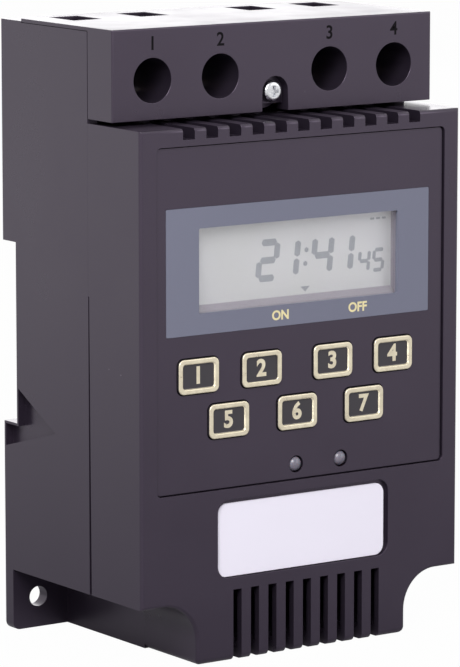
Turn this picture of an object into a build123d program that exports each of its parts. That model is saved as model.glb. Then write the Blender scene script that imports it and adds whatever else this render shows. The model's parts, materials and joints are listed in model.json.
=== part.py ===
"""Digital timer switch for a 35 mm rail: housing, display, keypad, electronics and screw terminals.

Lengths are in millimetres. X points right, Y from the front to the back, Z up, and the origin is the
middle of the footprint. A depth, named at_..., is measured forward from the back plane.
"""

from build123d import *
import os

# Whole housing
width = 74.0
height = 120.0
depth = 48.0
wall = 2.2
seam_step = 17.8
seam_open = 0.7
seam_open_start = 0.3
seam_open_deep = 1.2
seam_open_top_share = 0.68
seam_open_low_share = 0.42
edge_round = 0.7
cut_over = 1.0
fit_gap = 0.1
screw_gap = 0.05

# Lower corners: the housing narrows to a foot between two mounting ears
foot_height = 12.1
foot_inset = 12.5
foot_fillet = 7.5
foot_round = 1.2
ear_thick = 2.75
ear_corner = 1.5
ear_hole_r = 2.0
ear_hole_inset = 5.75
ear_hole_height = 6.1

# Rail slot across the back
rail_width = 35.0
rail_play = 0.4
rail_middle_drop = 0.95
rail_slot_depth = 4.6
at_rail_groove = 1.9
rail_groove_wide = 1.5
rail_groove_high = 1.2
relief_reach = 13.8
relief_rise = 6.9
relief_drop = 4.9
relief_sink = 1.7
relief_lip = 0.5
relief_backing = 1.4

# Ledge, vents and label of the front cover
ledge_drop = 18.0
ledge_thick = 2.1
notch_count = 11
notch_pitch = 5.23
notch_wide = 2.65
notch_run = 15.0
lower_wall = 1.5
vent_count = 9
vent_pitch = 4.05
vent_wide = 1.9
vent_rise = 1.6
vent_x = 1.0
vent_run = 8.0
label_wide = 39.0
label_high = 14.1
label_corner = 2.0
label_thick = 0.4
label_drop = 2.85
label_recess = 0.9
label_gap = 0.5
label_shift = 0.3

# Faceplate set into the front cover
panel_side = 3.55
panel_drop = 3.3
panel_low = 33.2
panel_corner = 1.0
panel_groove = 0.15
panel_sink = 0.5
panel_thick = 2.0
panel_floor = 1.8

# Display window, its carrier and the liquid crystal cell
display_x = -0.5
display_side = 2.95
display_drop_share = 0.1771
display_rim_thick = 0.7
display_rim_side = 7.4
display_rim_over_share = 0.1667
window_corner = 0.3
lens_thick = 0.6
lens_lap = 2.3
bezel_lip = 1.7
bezel_slope = 1.2
bezel_ease = 0.4
glass_lap = 1.0
glass_thick = 1.8
zebra_thick = 2.0
zebra_inset = 2.0

# Keys and their switches
key_wide = 9.1
key_high = 6.6
key_corner = 1.2
key_rim = 0.95
key_rim_high = 0.4
key_gap = 0.25
key_flange = 0.7
key_flange_thick = 0.8
key_stop_gap = 0.3
key_travel = 0.5
key_foot_r = 2.0
key_field_high = 29.9
lower_row_rise = 13.15
upper_row_rise = 22.2
upper_keys = ["reset", "hour", "minute", "week"]
upper_key_shares = [-0.7145, -0.2825, 0.2123, 0.6398]
lower_keys = ["mode", "timer", "clock"]
lower_key_shares = [-0.5082, -0.0359, 0.4335]
switch_side = 6.2
switch_high = 3.3
switch_floor = 0.4
plunger_r = 1.7
plunger_bore_gap = 0.1

# Indicator lamps
lamp_r = 1.5
lamp_flange_r = 1.9
lamp_flange_thick = 0.9
lamp_hole_gap = 0.15
lamp_rise = 3.0
lamps = ["power_lamp", "work_lamp"]
lamp_shares = [-0.0389, 0.275]
lead_side = 0.5
lead_spread = 1.27

# Boards
board_thick = 1.6
board_gap = 0.2
board_corner = 1.0
at_main_board = 9.8
main_board_side = 1.8
main_board_rise = 8.7
main_board_drop = 8.9
main_post_side = 4.0
main_post_inset = 7.0
display_board_sink = 10.0
display_board_side = 2.2
display_board_rise = 1.4
display_board_drop = 8.1
display_post_inset = 3.3
post_r = 2.6
board_screw_r = 1.2
board_screw_long = 6.0
board_screw_head_r = 2.3
board_screw_head = 1.6

# Housing screws, driven from the back through the base into the front cover
housing_boss_r = 4.0
housing_tip_gap = 5.5
housing_screw_r = 1.45
housing_screw_long = 20.0
housing_head_r = 2.8
housing_head = 2.0
housing_bore_r = 3.2

# Terminals
terminal_side = 9.0
terminal_inner_share = 0.4518
terminal_rise = 8.2
at_bay_back = 7.0
bay_step = 0.5
bar_wide = 7.0
bar_thick = 1.2
bar_top_gap = 3.0
bar_reach = 6.0
bar_tab_wide = 3.0
bar_tab_out = 1.2
bar_boss_r = 3.0
bar_boss_long = 2.4
bar_boss_gap = 0.3
tip_room = 0.6
screw_pitch = 0.7
screw_turns = 4
terminal_screw_r = 1.95
terminal_screw_long = 7.9
terminal_head_r = 3.8
terminal_head = 2.4
slot_wide = 1.0
slot_deep = 1.2
washer_side = 8.0
washer_thick = 1.2
washer_open = 3.4
washer_bore_gap = 0.1
head_gap = 0.1
cell_gap = 0.5
cell_wall = 1.2
cell_long = 10.5
cell_drop = 3.6

# Terminal cover
cover_gap = 0.8
terminal_step = 9.3
roof = 1.8
roof_lip = 0.8
front_wall = 2.1
access_r = 4.2
access_wall = 1.2
at_access_back = 18.0
entry_wide = 6.4
entry_long = 8.6
at_entry_back = 8.1

# Screw of the terminal cover
cover_screw_rise = 4.5
cover_screw_r = 1.2
cover_screw_long = 12.0
cover_head_r = 2.1
cover_head = 1.7
cross_wide = 0.6
cross_deep = 0.8
u_notch_r = 2.95
web_half = 4.6
web_high = 9.0
web_thick = 1.8
web_margin = 0.3
column_r = 3.4
column_rib = 2.4
column_rib_step = 4.5

# Rail latch
latch_half = 8.6
latch_tongue = 2.2
latch_tongue_thick = 1.4
latch_thick = 3.4
latch_sink = 0.5
latch_low = 3.5
latch_travel = 3.0
latch_nose = 2.05
latch_nose_thick = 1.2
latch_gap = 0.3
latch_ramp = 0.9
pull_wide = 6.0
pull_high = 3.0
spring_low = 17.0
spring_high = 27.6
spring_r = 1.35
spring_wire_r = 0.25
spring_turns = 7
spring_room = 0.45
spring_lug = 1.8
points_per_turn = 24

# Parts on the power board
relay_wide = 29.0
relay_tall = 12.8
relay_out = 15.8
relay_side = 3.0
relay_drop = 12.0
relay_foot = 0.5
film_wide = 13.0
film_tall = 8.5
film_out = 14.5
film_side = 6.0
film_drop = 13.0
case_round = 1.0
electrolytic_sizes = [(5.0, 11.0), (4.0, 11.0)]
electrolytic_place_shares = [(0.24, 0.42), (0.67, 0.2)]
can_groove = 0.5
can_round = 0.6
varistor_r = 5.0
varistor_thick = 4.5
varistor_place_shares = (0.76, 0.4)
fuse_r = 4.2
fuse_out = 8.0
fuse_place_shares = (-0.8, 0.38)
diode_r = 1.35
diode_long = 5.2
diode_count = 4
diode_pitch = 4.2
diode_rise = 3.0
diode_x_share = -0.48
resistor_r = 2.4
resistor_long = 14.0
resistor_rise = 6.5
resistor_x_share = 0.24
wire_r = 0.4
wire_reach = 2.0
wire_bend = 1.0
driver_side = 4.6
driver_out = 5.0
driver_place_shares = (0.5, 0.3)
stand_off = 1.0

# Parts on the display board, behind it
chip_side = 11.0
chip_thick = 1.6
chip_place_shares = (-0.6, 0.45)
crystal_r = 1.0
crystal_long = 6.0
crystal_place_shares = (0.06, 0.525)
battery_r = 7.8
battery_thick = 5.4
battery_seam = 0.6
battery_place_shares = (0.55, 0.31)

# Flat cable between the boards
cable_wide = 12.0
cable_thick = 0.9
cable_x = -5.0
cable_rise_share = 0.2794
cable_step = 5.0
cable_bend = 2.2
socket_wide = 15.0
socket_high = 3.4
socket_out = 5.0

# Places of the housing
back_y = depth / 2
half = width / 2
foot_half = half - foot_inset
inner_half = half - wall
ledge_z = height - ledge_drop
deck_low = ledge_z - ledge_thick
rail_slot_low = (height - rail_width - rail_play) / 2 - rail_middle_drop
rail_slot_top = rail_slot_low + rail_width + rail_play
vent_top = foot_height + vent_rise
at_back_inner = rail_slot_depth + wall
at_seam = depth - seam_step
seam_open_top = seam_open_top_share * ledge_z
seam_open_low = seam_open_low_share * ledge_z
at_lower_wall = depth - lower_wall
at_terminal_front = depth - terminal_step
at_web_front = at_terminal_front - front_wall
cover_low = ledge_z + cover_gap
cover_screw_z = ledge_z + cover_screw_rise

# Places of the faceplate, the label, the display, the keys and the lamps
panel_wide = width - 2 * panel_side
panel_high = ledge_z - panel_drop
panel_tall = panel_high - panel_low
panel_z = (panel_low + panel_high) / 2
at_panel_front = depth - panel_sink
at_panel_back = at_panel_front - panel_thick
at_floor_back = at_panel_back - panel_floor
label_z = panel_low - label_drop - label_high / 2
display_drop = display_drop_share * panel_tall
display_high = panel_tall - display_drop - key_field_high
display_z = panel_low + key_field_high + display_high / 2
display_wide = panel_wide - 2 * display_side
window_wide = display_wide - 2 * display_rim_side
window_high = display_high * (1 - 2 * display_rim_over_share)
bezel_wide = window_wide + 2 * lens_lap
bezel_high = window_high + 2 * lens_lap
glass_wide = window_wide + 2 * glass_lap
glass_high = window_high + 2 * glass_lap
zebra_long = glass_wide - 2 * zebra_inset
at_rim_back = at_panel_front - display_rim_thick
at_lens_back = at_rim_back - lens_thick
at_glass_front = at_lens_back - bezel_lip
at_glass_back = at_glass_front - glass_thick
key_rows = [
    (upper_keys, upper_key_shares, upper_row_rise),
    (lower_keys, lower_key_shares, lower_row_rise),
]
key_places = {
    name: (panel_wide / 2 * share, panel_low + rise)
    for names, shares, rise in key_rows
    for name, share in zip(names, shares)
}
at_key_flange = at_floor_back - key_stop_gap
at_key_flange_back = at_key_flange - key_flange_thick
lamp_z = panel_low + lamp_rise
lamp_places = {name: panel_wide / 2 * share for name, share in zip(lamps, lamp_shares)}

# Places of the boards
main_board_wide = 2 * (inner_half - main_board_side)
main_board_low = foot_height + wall + main_board_rise
main_board_high = deck_low - main_board_drop
at_main_board_front = at_main_board + board_thick
display_board_wide = 2 * (inner_half - display_board_side)
display_board_low = panel_low + display_board_rise
display_board_high = panel_high - display_board_drop
at_display_board_front = depth - display_board_sink
at_display_board = at_display_board_front - board_thick
at_switch_top = at_display_board_front + switch_high
at_plunger_top = at_switch_top + key_travel + key_stop_gap
cable_low = main_board_low + cable_rise_share * (main_board_high - main_board_low)
cable_high = cable_low + cable_step

# Places of the terminals and of the screws
terminal_outer_x = half - terminal_side
terminal_inner_x = terminal_outer_x * terminal_inner_share
terminal_xs = [-terminal_outer_x, -terminal_inner_x, terminal_inner_x, terminal_outer_x]
terminal_z = ledge_z + terminal_rise
at_bar_front = at_bay_back + bar_thick
at_washer = at_bar_front + washer_open
at_head = at_washer + washer_thick + head_gap
bar_low = main_board_high - bar_reach
bar_top = height - bar_top_gap
at_housing_seat = at_panel_back - housing_tip_gap - housing_screw_long
lower_boss_x = inner_half - housing_boss_r + fit_gap
lower_boss_z = foot_height + wall + housing_boss_r - fit_gap
upper_boss_z = deck_low - housing_boss_r + fit_gap
housing_boss_places = [(-lower_boss_x, lower_boss_z), (lower_boss_x, lower_boss_z), (0, upper_boss_z)]
main_posts = [
    (side * x, z)
    for side in (-1, 1)
    for x, z in (
        (main_board_wide / 2 - main_post_side, main_board_low + main_post_inset),
        ((terminal_outer_x + terminal_inner_x) / 2, bar_low - post_r - board_gap),
    )
]
display_posts = [
    (side * (display_board_wide / 2 - display_post_inset), z)
    for side in (-1, 1)
    for z in (display_board_low + display_post_inset, display_board_high - display_post_inset)
]


def block(x0, x1, at0, at1, z0, z1):
    """A box between two X places, two depths from the back plane and two heights."""
    box = Box(x1 - x0, at1 - at0, z1 - z0)
    return Pos((x0 + x1) / 2, back_y - (at0 + at1) / 2, (z0 + z1) / 2) * box


def rod(x, z, at0, at1, radius):
    """A round bar along Y between two depths from the back plane."""
    bar = Rot(90, 0, 0) * Cylinder(radius, at1 - at0)
    return Pos(x, back_y - (at0 + at1) / 2, z) * bar


def prism(outline, at0, at1):
    """Extrudes an outline drawn in X and Z between two depths from the back plane."""
    plane = Plane(origin=(0, back_y - at0, 0), x_dir=(1, 0, 0), z_dir=(0, -1, 0))
    return extrude(plane * outline, amount=at1 - at0)


def side_prism(points, x0, x1):
    """Extrudes an outline given in depths and heights between two X places."""
    plane = Plane(origin=(x0, 0, 0), x_dir=(0, 1, 0), z_dir=(1, 0, 0))
    face = make_face(Polyline(*[(back_y - at, z) for at, z in points], close=True))
    return extrude(plane * face, amount=x1 - x0)


def plate(x, z, wide, high, corner, at0, at1):
    """A plate with rounded corners between two depths."""
    return prism(Pos(x, z) * RectangleRounded(wide, high, corner), at0, at1)


def save(name, shape):
    """Writes one piece to its own STEP file."""
    export_step(shape, "parts/" + name + ".step")


def housing_outline():
    """The T-shaped outline of base and front cover, seen from the front."""
    upper = Pos(0, (foot_height + ledge_z) / 2) * Rectangle(width, ledge_z - foot_height)
    lower = Pos(0, foot_height / 2) * Rectangle(2 * foot_half, foot_height)
    return upper + lower


def housing_cavity(at0, at1, top):
    """The hollow inside the T-shaped outline between two depths."""
    upper = block(-inner_half, inner_half, at0, at1, foot_height + wall, top)
    lower = block(wall - foot_half, foot_half - wall, at0, at1, wall, foot_height + 2 * wall)
    return upper + lower


def bored_post(x, z, at0, at1, radius, bore_r):
    """A round post along Y with a hole for a self-cutting screw."""
    return rod(x, z, at0, at1, radius) - rod(x, z, at0, at1, bore_r)


def ears():
    """The two mounting ears beside the foot, in the plane of the back."""
    outline = Pos(0, foot_height / 2) * Rectangle(width, foot_height)
    low_corners = [v for v in outline.vertices() if v.Y < foot_height / 2]
    outline = fillet(low_corners, ear_corner)
    holes = [Pos(side * (half - ear_hole_inset), ear_hole_height) * Circle(ear_hole_r) for side in (-1, 1)]
    return prism(outline - holes, 0, ear_thick)


def rail_cuts():
    """The slot for the rail, with the groove that holds the rail's upper flange."""
    slot = block(-half - cut_over, half + cut_over, -cut_over, rail_slot_depth, rail_slot_low, rail_slot_top)
    groove_end = at_rail_groove + rail_groove_wide
    groove = block(-inner_half, inner_half, at_rail_groove, groove_end, rail_slot_top - cut_over,
                   rail_slot_top + rail_groove_high)
    return slot + groove


def relief_points(grow):
    """The pocket round the lower lip of the rail slot, grown on all sides by a margin."""
    at_slot_side = rail_slot_depth + relief_lip - grow
    at_back_side = relief_lip - grow
    return [
        (at_slot_side, rail_slot_low + relief_rise + 2 * grow),
        (rail_slot_depth + relief_reach + 2 * grow, rail_slot_low),
        (at_back_side, rail_slot_low - relief_drop - grow),
        (at_back_side, rail_slot_low - relief_lip + grow),
        (at_slot_side, rail_slot_low - relief_lip + grow),
    ]


def reliefs():
    """The shallow pockets in both side walls at the lower lip of the rail slot."""
    left = side_prism(relief_points(0), -half - cut_over, -half + relief_sink)
    right = side_prism(relief_points(0), half - relief_sink, half + cut_over)
    return left + right


def relief_backings():
    """The thickened wall behind each shallow pocket."""
    deep = relief_sink + relief_backing
    left = side_prism(relief_points(relief_backing), -half + relief_sink, -half + deep)
    right = side_prism(relief_points(relief_backing), half - deep, half - relief_sink)
    return left + right


def latch_channel():
    """The channel in the back of the foot that the rail latch slides in."""
    web = block(-latch_half - latch_gap, latch_half + latch_gap, -cut_over,
                latch_sink + latch_thick + latch_gap, -cut_over, rail_slot_low + cut_over)
    tongue_half = latch_half + latch_tongue + latch_gap
    tongue_back = latch_sink + latch_thick - latch_tongue_thick - latch_gap
    tongues = block(-tongue_half, tongue_half, tongue_back, latch_sink + latch_thick + latch_gap,
                    -cut_over, rail_slot_low - latch_gap)
    return web + tongues


def terminal_bay():
    """The open bay over the deck: its back wall, side walls, cell walls and the screw column."""
    bay = block(-half, half, 0, at_seam, deck_low, height - roof_lip)
    bay -= block(-inner_half, inner_half, at_bay_back, at_seam + cut_over, ledge_z, height)
    bay += block(-half, half, 0, at_bay_back, deck_low, height - bay_step)
    for x in terminal_xs:
        cell_half = washer_side / 2 + cell_gap
        for side in (-1, 1):
            inner = x + side * cell_half
            outer = inner + side * cell_wall
            bay += block(min(inner, outer), max(inner, outer), at_bay_back, at_bay_back + cell_long,
                         ledge_z, height - cell_drop)
    at_column = at_web_front - web_thick - fit_gap
    column = rod(0, cover_screw_z, at_bay_back, at_column, column_r)
    column += block(-column_rib / 2, column_rib / 2, at_bay_back, at_column - column_rib_step,
                    ledge_z, cover_screw_z)
    return bay + column


def terminal_bay_cuts():
    """The slots and pockets for the terminal bars, and the hole of the cover screw."""
    cuts = []
    for x in terminal_xs:
        cuts.append(block(x - bar_wide / 2 - board_gap, x + bar_wide / 2 + board_gap,
                          at_bay_back - board_gap, at_bar_front + board_gap,
                          deck_low - cut_over, ledge_z + fit_gap))
        at_tip = at_head - terminal_screw_long - screw_turns * screw_pitch - tip_room
        cuts.append(rod(x, terminal_z, at_tip, at_bay_back + cut_over / 2, bar_boss_r + bar_boss_gap))
    at_hole = at_web_front - cover_screw_long - cut_over
    cuts.append(rod(0, cover_screw_z, at_hole, at_web_front, cover_screw_r + screw_gap))
    return cuts


def rear_base():
    """The rear half of the housing: back, side walls, foot, ears and terminal bay."""
    body = prism(housing_outline(), 0, at_seam)
    body += terminal_bay()
    body -= housing_cavity(at_back_inner, at_seam + cut_over, deck_low)
    body -= block(-inner_half, inner_half, wall, at_back_inner + cut_over,
                  rail_slot_top + rail_groove_high + wall, deck_low)
    body += ears()
    body += relief_backings() & housing_cavity(at_back_inner, at_seam, deck_low)
    for x, z in housing_boss_places:
        body += rod(x, z, wall, at_seam, housing_boss_r)
    for x, z in main_posts:
        at_start = at_back_inner - cut_over if z < rail_slot_top else wall - cut_over
        body += rod(x, z, at_start, at_main_board, post_r)
    body -= rail_cuts()
    body -= reliefs()
    body -= latch_channel()
    body += spring_seat()
    for x, z in housing_boss_places:
        body -= rod(x, z, -cut_over, at_housing_seat, housing_bore_r)
        body -= rod(x, z, at_housing_seat - cut_over, at_seam + cut_over, housing_screw_r + fit_gap)
    for x, z in main_posts:
        at_hole = at_main_board_front - board_screw_long - screw_gap
        body -= rod(x, z, at_hole, at_main_board + cut_over, board_screw_r + screw_gap)
    for cut in terminal_bay_cuts():
        body -= cut
    return body


def spring_seat():
    """The lug on the floor of the latch channel that the spring stands on."""
    lug_half = spring_r + spring_wire_r
    return block(-lug_half, lug_half, latch_sink + latch_gap, latch_sink + latch_thick + cut_over,
                 spring_low - spring_lug, spring_low)


def front_cover():
    """The front half of the housing, with the recess for the faceplate and the vents."""
    outline = housing_outline()
    notches = [v for v in outline.vertices() if abs(v.Y - foot_height) < fit_gap]
    outline = fillet([v for v in notches if abs(v.X) < half - fit_gap], foot_fillet)
    body = prism(outline, at_seam, depth)
    front_edges = body.faces().sort_by(Axis.Y)[0].outer_wire().edges()
    body = fillet(front_edges.sort_by(Axis.Z)[1:], edge_round)
    foot_edge = body.edges().filter_by(Axis.X).group_by(Axis.Z)[0].group_by(Axis.Y)[0]
    body = fillet(foot_edge, foot_round)
    body -= housing_cavity(at_seam - cut_over, at_floor_back, deck_low)
    body -= housing_cavity(at_floor_back - cut_over, at_lower_wall, panel_low - 2 * wall)
    body -= plate(0, panel_z, panel_wide, panel_tall, panel_corner, at_panel_back, depth + cut_over)
    body -= plate(display_x, display_z, bezel_wide + 2 * fit_gap, bezel_high + 2 * fit_gap, window_corner,
                  at_floor_back - cut_over, depth)
    for x, z in key_places.values():
        body -= plate(x, z, key_wide + 2 * key_gap, key_high + 2 * key_gap, key_corner,
                      at_floor_back - cut_over, depth)
    for x in lamp_places.values():
        body -= rod(x, lamp_z, at_floor_back - cut_over, depth, lamp_r + lamp_hole_gap)
    body -= plate(label_shift, label_z + label_shift, label_wide + 2 * label_gap, label_high + 2 * label_gap,
                  label_corner + label_gap, depth - label_recess, depth + cut_over)
    body -= seam_openings()
    for cut in vent_cuts():
        body -= cut
    for x, z in housing_boss_places:
        body += rod(x, z, at_seam, at_lower_wall if z < panel_low else at_panel_back, housing_boss_r)
        at_end = at_housing_seat + housing_screw_long + cut_over
        body -= rod(x, z, at_seam - cut_over, at_end, housing_screw_r + screw_gap)
    for x, z in display_posts:
        body += rod(x, z, at_display_board_front, at_panel_back, post_r)
        at_end = at_display_board + board_screw_long + screw_gap
        body -= rod(x, z, at_display_board_front - cut_over, at_end, board_screw_r + screw_gap)
    return body


def seam_openings():
    """The narrow wedges by which the parting line gapes toward the foot on both sides."""
    points = [
        (at_seam - cut_over, seam_open_top),
        (at_seam + seam_open_start, seam_open_top),
        (at_seam + seam_open, seam_open_low),
        (at_seam + seam_open, foot_height - cut_over),
        (at_seam - cut_over, foot_height - cut_over),
    ]
    left = side_prism(points, -half - cut_over, seam_open_deep - half)
    right = side_prism(points, half - seam_open_deep, half + cut_over)
    return left + right


def vent_cuts():
    """The notches along the ledge and the slots over the foot, which run on through the bottom."""
    cuts = []
    for i in range(notch_count):
        x = (i - (notch_count - 1) / 2) * notch_pitch
        cuts.append(block(x - notch_wide / 2, x + notch_wide / 2, depth - notch_run, depth + cut_over,
                          deck_low, ledge_z + cut_over))
    for i in range(vent_count):
        x = vent_x + (i - (vent_count - 1) / 2) * vent_pitch
        low = x - vent_wide / 2
        high = x + vent_wide / 2
        cuts.append(block(low, high, at_lower_wall - cut_over, depth + cut_over, -cut_over, vent_top))
        cuts.append(block(low, high, depth - vent_run, depth, -cut_over, wall + cut_over))
    return cuts


def terminal_cover():
    """The cap over the terminals, with wire entries in its roof and driver holes in its front."""
    body = block(-half, half, at_bay_back + fit_gap, at_terminal_front, cover_low, height)
    edges = body.edges().filter_by(Axis.X).group_by(Axis.Y)[0].group_by(Axis.Z)[-1]
    edges += body.edges().filter_by(Axis.Z).group_by(Axis.Y)[0]
    body = fillet(edges, edge_round / 2)
    side_clear = inner_half - fit_gap
    body -= block(-side_clear, side_clear, at_bay_back - cut_over, at_web_front,
                  cover_low - cut_over, height - roof)
    for x0, x1 in ((-half - cut_over, -side_clear), (side_clear, half + cut_over)):
        body -= block(x0, x1, at_bay_back - cut_over, at_seam + fit_gap, cover_low - cut_over,
                      height - roof_lip + fit_gap / 2)
    for x in terminal_xs:
        body += rod(x, terminal_z, at_access_back, at_web_front, access_r + access_wall)
    body += block(-web_half, web_half, at_web_front - web_thick, at_web_front, cover_low, ledge_z + web_high)
    for x in terminal_xs:
        body -= rod(x, terminal_z, at_access_back - cut_over, at_terminal_front + cut_over, access_r)
        body -= block(x - entry_wide / 2, x + entry_wide / 2, at_entry_back, at_entry_back + entry_long,
                      height - roof - cut_over, height + cut_over)
    body -= rod(0, cover_screw_z, at_web_front, at_terminal_front + cut_over, u_notch_r)
    body -= block(-u_notch_r, u_notch_r, at_web_front, at_terminal_front + cut_over,
                  cover_low - cut_over, cover_screw_z)
    body -= rod(0, cover_screw_z, at_web_front - web_thick - cut_over, at_terminal_front,
                cover_screw_r + fit_gap)
    body -= block(-u_notch_r, u_notch_r, at_web_front - web_thick - cut_over, at_web_front + cut_over,
                  cover_low - cut_over, cover_screw_z - cover_head_r - web_margin)
    return body


def cross_recess(x, z, at_top, span):
    """The cross-shaped recess in a screw head."""
    low = at_top - cross_deep
    across = block(x - span, x + span, low, at_top + cut_over, z - cross_wide / 2, z + cross_wide / 2)
    upright = block(x - cross_wide / 2, x + cross_wide / 2, low, at_top + cut_over, z - span, z + span)
    return across + upright


def pan_screw(x, z, at_seat, shank_long, shank_r, head_r, head_thick, forward):
    """A pan-head screw along Y. The head lies in front of its seat, or behind it if not forward."""
    way = 1 if forward else -1
    at_end = at_seat + way * head_thick
    head = rod(x, z, min(at_seat, at_end), max(at_seat, at_end), head_r)
    head = fillet(head.edges().group_by(Axis.Y)[0 if forward else -1], head_thick / 2)
    at_tip = at_seat - way * shank_long
    body = head + rod(x, z, min(at_seat, at_tip), max(at_seat, at_tip), shank_r)
    span = head_r / 2
    if forward:
        return body - cross_recess(x, z, at_end, span)
    return body - cross_recess(x, z, at_end + cross_deep - cut_over, span)


def board_screw(x, z, at_seat, forward):
    """A screw that holds a circuit board on its post."""
    return pan_screw(x, z, at_seat, board_screw_long, board_screw_r, board_screw_head_r,
                     board_screw_head, forward)


def faceplate():
    """The plate that carries the display rim, the keys and the lamps."""
    body = plate(0, panel_z, panel_wide - 2 * panel_groove, panel_tall - 2 * panel_groove,
                 panel_corner - panel_groove / 2, at_panel_back, at_panel_front)
    body = fillet(body.faces().sort_by(Axis.Y)[0].edges(), panel_groove)
    body -= plate(display_x, display_z, display_wide + fit_gap, display_high + fit_gap, window_corner,
                  at_rim_back, depth)
    body -= plate(display_x, display_z, bezel_wide + 2 * fit_gap, bezel_high + 2 * fit_gap, window_corner,
                  at_panel_back - cut_over, depth)
    for x, z in key_places.values():
        body -= plate(x, z, key_wide + 2 * key_gap, key_high + 2 * key_gap, key_corner + key_gap,
                      at_panel_back - cut_over, depth)
    for x in lamp_places.values():
        body -= rod(x, lamp_z, at_panel_back - cut_over, depth, lamp_r + lamp_hole_gap)
    return body


def display_rim():
    """The flat coloured rim round the display window."""
    body = plate(display_x, display_z, display_wide, display_high, window_corner,
                 at_rim_back, at_panel_front)
    return body - plate(display_x, display_z, window_wide, window_high, window_corner,
                        at_rim_back - cut_over, depth)


def display_lens():
    """The clear sheet behind the rim."""
    return plate(display_x, display_z, bezel_wide, bezel_high, window_corner, at_lens_back, at_rim_back)


def lcd_carrier():
    """The pale frame that holds the cell and stands on the display board."""
    low_z = display_z - window_high / 2
    body = plate(display_x, display_z, bezel_wide, bezel_high, window_corner,
                 at_display_board_front, at_lens_back)
    body -= block(display_x - glass_wide / 2 - board_gap, display_x + glass_wide / 2 + board_gap,
                  at_display_board_front - cut_over, at_glass_front,
                  display_z - glass_high / 2 - board_gap, display_z + glass_high / 2 + board_gap)
    top_z = display_z + window_high / 2
    opening = side_prism(
        [(at_lens_back + fit_gap, low_z - bezel_ease), (at_lens_back + fit_gap, top_z),
         (at_glass_front - fit_gap, top_z), (at_glass_front - fit_gap, low_z + bezel_slope)],
        display_x - window_wide / 2 - bezel_ease, display_x + window_wide / 2 + bezel_ease)
    return body - opening


def lcd_cell():
    """The liquid crystal cell: two glass plates, the front one shorter to bare the contacts."""
    rear = block(display_x - glass_wide / 2, display_x + glass_wide / 2, at_glass_back,
                 at_glass_back + glass_thick / 2, display_z - glass_high / 2, display_z + glass_high / 2)
    short = zebra_thick / 2
    front = block(display_x - glass_wide / 2, display_x + glass_wide / 2, at_glass_back + glass_thick / 2,
                  at_glass_front, display_z - glass_high / 2 + short, display_z + glass_high / 2)
    return rear + front


def zebra_strips():
    """The two rubber contact strips between the cell and the display board."""
    strips = []
    for side in (-1, 1):
        z = display_z + side * (glass_high / 2 - zebra_thick / 2)
        strips.append(block(display_x - zebra_long / 2, display_x + zebra_long / 2,
                            at_display_board_front, at_glass_back, z - zebra_thick / 2, z + zebra_thick / 2))
    return Compound(children=strips)


def key_cap(x, z):
    """A key: cap with a raised rim, a flange that stops it, and a foot on the switch."""
    body = plate(x, z, key_wide, key_high, key_corner, at_key_flange_back, depth)
    body = fillet(body.faces().sort_by(Axis.Y)[0].edges(), key_rim_high / 2)
    body -= plate(x, z, key_wide - 2 * key_rim, key_high - 2 * key_rim, key_corner / 2,
                  depth - key_rim_high, depth + cut_over)
    body += plate(x, z, key_wide + 2 * key_flange, key_high + 2 * key_flange, key_corner,
                  at_key_flange_back, at_key_flange)
    return body + rod(x, z, at_plunger_top, at_key_flange_back, key_foot_r)


def key_plunger(x, z):
    """The plunger of a key's switch, which moves with the key."""
    at_low = at_display_board_front + switch_floor + key_travel + key_stop_gap
    body = rod(x, z, at_low, at_plunger_top, plunger_r)
    return chamfer(body.edges().group_by(Axis.Y)[0], fit_gap)


def key_switches():
    """The bodies of the seven push switches on the display board."""
    bodies = []
    side = switch_side / 2
    for x, z in key_places.values():
        body = block(x - side, x + side, at_display_board_front, at_switch_top, z - side, z + side)
        bore_r = plunger_r + plunger_bore_gap
        body -= rod(x, z, at_display_board_front + switch_floor, at_switch_top + cut_over, bore_r)
        bodies.append(body)
    return Compound(children=bodies)


def lamp(x):
    """A round lamp with its flange and two leads."""
    at_low = at_floor_back - fit_gap - lamp_flange_thick
    body = rod(x, lamp_z, at_low, depth - lamp_r, lamp_r)
    body += Pos(x, back_y - depth + lamp_r, lamp_z) * Sphere(lamp_r)
    body += rod(x, lamp_z, at_low, at_low + lamp_flange_thick, lamp_flange_r)
    for side in (-1, 1):
        lead_x = x + side * lead_spread
        body += block(lead_x - lead_side / 2, lead_x + lead_side / 2, at_display_board_front,
                      at_low + fit_gap, lamp_z - lead_side / 2, lamp_z + lead_side / 2)
    return body


def label_plate():
    """The pale label in its recess."""
    at_back = depth - label_recess
    return plate(0, label_z, label_wide, label_high, label_corner, at_back, at_back + label_thick)


def board(at_back, wide, low, high, posts):
    """A circuit board with a hole at each post."""
    body = plate(0, (low + high) / 2, wide, high - low, board_corner, at_back, at_back + board_thick)
    for x, z in posts:
        body -= rod(x, z, at_back - cut_over, at_back + board_thick + cut_over, board_screw_r + board_gap)
    return body


def main_board():
    """The power board, slotted for the tabs of the terminal bars."""
    body = board(at_main_board, main_board_wide, main_board_low, main_board_high, main_posts)
    for x in terminal_xs:
        body -= block(x - bar_tab_wide / 2 - board_gap, x + bar_tab_wide / 2 + board_gap,
                      at_main_board - cut_over, at_main_board_front + cut_over,
                      bar_low - board_gap, bar_low + bar_thick + board_gap)
    return body


def display_board():
    """The board behind the keys and the display."""
    return board(at_display_board, display_board_wide, display_board_low, display_board_high,
                 display_posts)


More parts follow.
